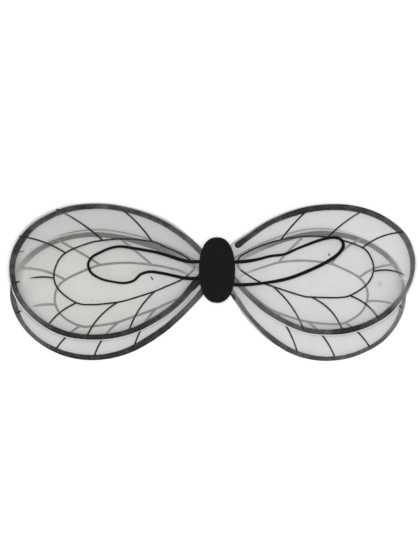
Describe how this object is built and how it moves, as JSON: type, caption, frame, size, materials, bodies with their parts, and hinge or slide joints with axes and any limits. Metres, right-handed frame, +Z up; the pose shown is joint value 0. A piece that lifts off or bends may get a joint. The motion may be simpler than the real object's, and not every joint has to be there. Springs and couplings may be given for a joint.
{
  "type": "costume insect wings",
  "caption": "Pair of double costume insect wings: sheer fabric on wire rims with black glitter veins, held in an oval felt pad with elastic arm loops.",
  "frame": {"origin": "centre of the pad's underside, on the surface that the wings lie on", "axes": "+X along the span towards the picture's right, +Y towards the upper wings' front edges, +Z up, towards the strap side"},
  "size_m": [0.5616, 0.2186, 0.0209],
  "materials": {
    "black_felt": "matte felt",
    "rim_casing": "sheer fabric folded over wire",
    "sheer_fabric": "sheer, faintly streaked",
    "black_glitter": "raised glitter print",
    "black_elastic": "woven flat elastic"
  },
  "bodies": {
    "root": {"centre_pad": "black_felt", "left_upper_rim": "rim_casing", "left_upper_film": "sheer_fabric", "left_upper_veins": "black_glitter", "right_upper_rim": "rim_casing", "right_upper_film": "sheer_fabric", "right_upper_veins": "black_glitter", "left_lower_rim": "rim_casing", "left_lower_film": "sheer_fabric", "left_lower_veins": "black_glitter", "right_lower_rim": "rim_casing", "right_lower_film": "sheer_fabric", "right_lower_veins": "black_glitter", "left_elastic": "black_elastic", "right_elastic": "black_elastic"}
  },
  "joints": []
}
